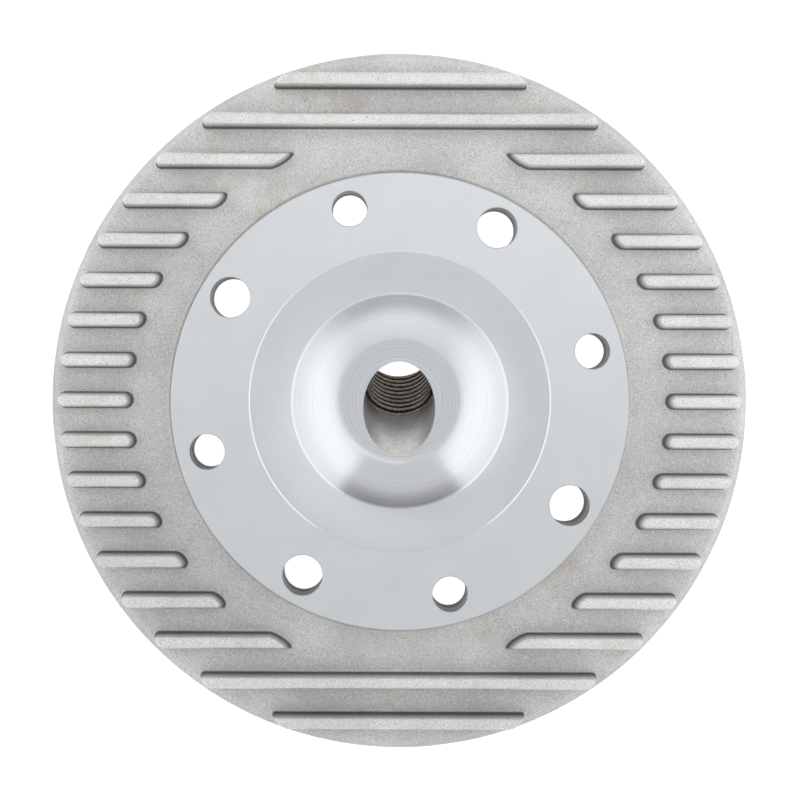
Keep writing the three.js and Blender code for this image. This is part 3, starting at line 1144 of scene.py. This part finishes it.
coolingFins = buildFins()
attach(coolingFins, "root")
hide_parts(*namedLike("cooling_fin_"))
print("cooling fins made:", len(coolingFins.data.polygons), "faces")


# floor, light and camera

stageLook = {"floorSize": 6.0, "floorGlow": 0.9, "floorShade": 0.4, "roughness": 0.9, "below": 0.2 * mm}


def buildFloor():
    half = stageLook["floorSize"] / 2
    corners = [(-half, -half, 0), (half, -half, 0), (half, half, 0), (-half, half, 0)]
    material, tree, shader, place = newMaterial("paleFloor")
    shade = stageLook["floorShade"]
    shader.inputs["Base Color"].default_value = (shade, shade, shade, 1)
    shader.inputs["Roughness"].default_value = stageLook["roughness"]
    shader.inputs["Emission Color"].default_value = (1, 1, 1, 1)
    shader.inputs["Emission Strength"].default_value = stageLook["floorGlow"]
    floor = newPiece("floor", meshFrom("floor", corners, [(0, 1, 2, 3)]), [material])
    floor.location.z = -stageLook["below"]


lightLook = {
    "tent": 0.68,
    "sides": 0.48,
    "sideLean": 0.3,
    "sideEdge": (0.2, 0.9),
    "sideReach": (0.3, 0.8),
    "front": 0.25,
    "back": 0.66,
    "duskHeight": (0.1, 0.34),
    "dusk": 0.5,
    "sideDusk": 0.14,
    "backDusk": 0.2,
    "horizon": 0.75,
    "horizonHeight": (0.02, 0.1),
    "backSpread": 0.75,
    "backEdge": (-0.05, 0.1),
    "panelGlow": 0.24,
    "panelSize": 0.55,
    "panelPlace": (0.15, 0.3, 1.1),
}


def buildTent():
    # a white tent with a bright wall at each side and a duller one behind
    world = bpy.data.worlds.new("tent")
    world.use_nodes = True
    tree = world.node_tree

    def calc(operation, *values):
        return maths(tree, operation, *values)

    direction = tree.nodes.new("ShaderNodeTexCoord").outputs["Generated"]
    way = addNode(tree, "ShaderNodeSeparateXYZ", inputs={0: direction})
    across = calc("ABSOLUTE", way.outputs["X"])
    along = way.outputs["Y"]
    aside = calc("ADD", across, calc("MULTIPLY", along, lightLook["sideLean"]))
    walls = smoothStep(tree, aside, *lightLook["sideEdge"], 0.0, lightLook["sides"])
    ahead = calc("MAXIMUM", calc("MULTIPLY", along, -1.0), 0.0)
    front = calc("MULTIPLY", calc("MULTIPLY", ahead, ahead), lightLook["front"])
    glow = calc("ADD", calc("ADD", walls, front), lightLook["tent"])
    behind = calc("SUBTRACT", calc("MULTIPLY", along, lightLook["backSpread"]), across)
    dull = smoothStep(tree, behind, *lightLook["backEdge"])
    bright = calc("MULTIPLY", glow, calc("SUBTRACT", 1.0, dull))
    total = calc("ADD", bright, calc("MULTIPLY", dull, lightLook["back"]))
    # the tent is duller just above the horizon, least so at the sides and most behind
    up = calc("ABSOLUTE", way.outputs["Z"])
    low = smoothStep(tree, up, *lightLook["duskHeight"], 1.0, 0.0)
    low = calc("MULTIPLY", low, smoothStep(tree, up, *lightLook["horizonHeight"], lightLook["horizon"], 1.0))
    loss = smoothStep(tree, across, *lightLook["sideReach"], lightLook["dusk"], lightLook["sideDusk"])
    loss = calc("ADD", loss, calc("MULTIPLY", dull, lightLook["backDusk"]))
    total = calc("MULTIPLY", total, calc("SUBTRACT", 1.0, calc("MULTIPLY", low, loss)))
    sky = tree.nodes["Background"]
    sky.inputs["Color"].default_value = (1, 1, 1, 1)
    tree.links.new(total, sky.inputs["Strength"])
    scene.world = world


def buildPanel():
    size = lightLook["panelSize"]
    light = bpy.data.lights.new("panel", "AREA")
    light.shape = "SQUARE"
    light.size = size
    light.energy = lightLook["panelGlow"] * math.pi * size * size
    lamp = bpy.data.objects.new("panel", light)
    lamp.location = lightLook["panelPlace"]
    lamp.rotation_euler = (Vector((0, 0, faceZ)) - lamp.location).to_track_quat("-Z", "Y").to_euler()
    scene.collection.objects.link(lamp)


cameraLook = {
    "distance": 350 * mm,
    "offAxis": (-6.0 * mm, 9.2 * mm),
    "lens": 79.8,
    "roll": 0.2,
    "shift": (0.0380, -0.0566),
}


def buildCamera():
    camera = bpy.data.cameras.new("camera")
    camera.lens = cameraLook["lens"]
    camera.sensor_width = 36
    camera.shift_x, camera.shift_y = cameraLook["shift"]
    holder = bpy.data.objects.new("camera", camera)
    holder.location = (*cameraLook["offAxis"], faceZ + cameraLook["distance"])
    holder.rotation_euler = (0, 0, math.radians(cameraLook["roll"]))
    scene.collection.objects.link(holder)
    scene.camera = holder


buildFloor()
buildTent()
buildPanel()
buildCamera()
scene.view_settings.view_transform = "Standard"
print("stage, lights and camera set")
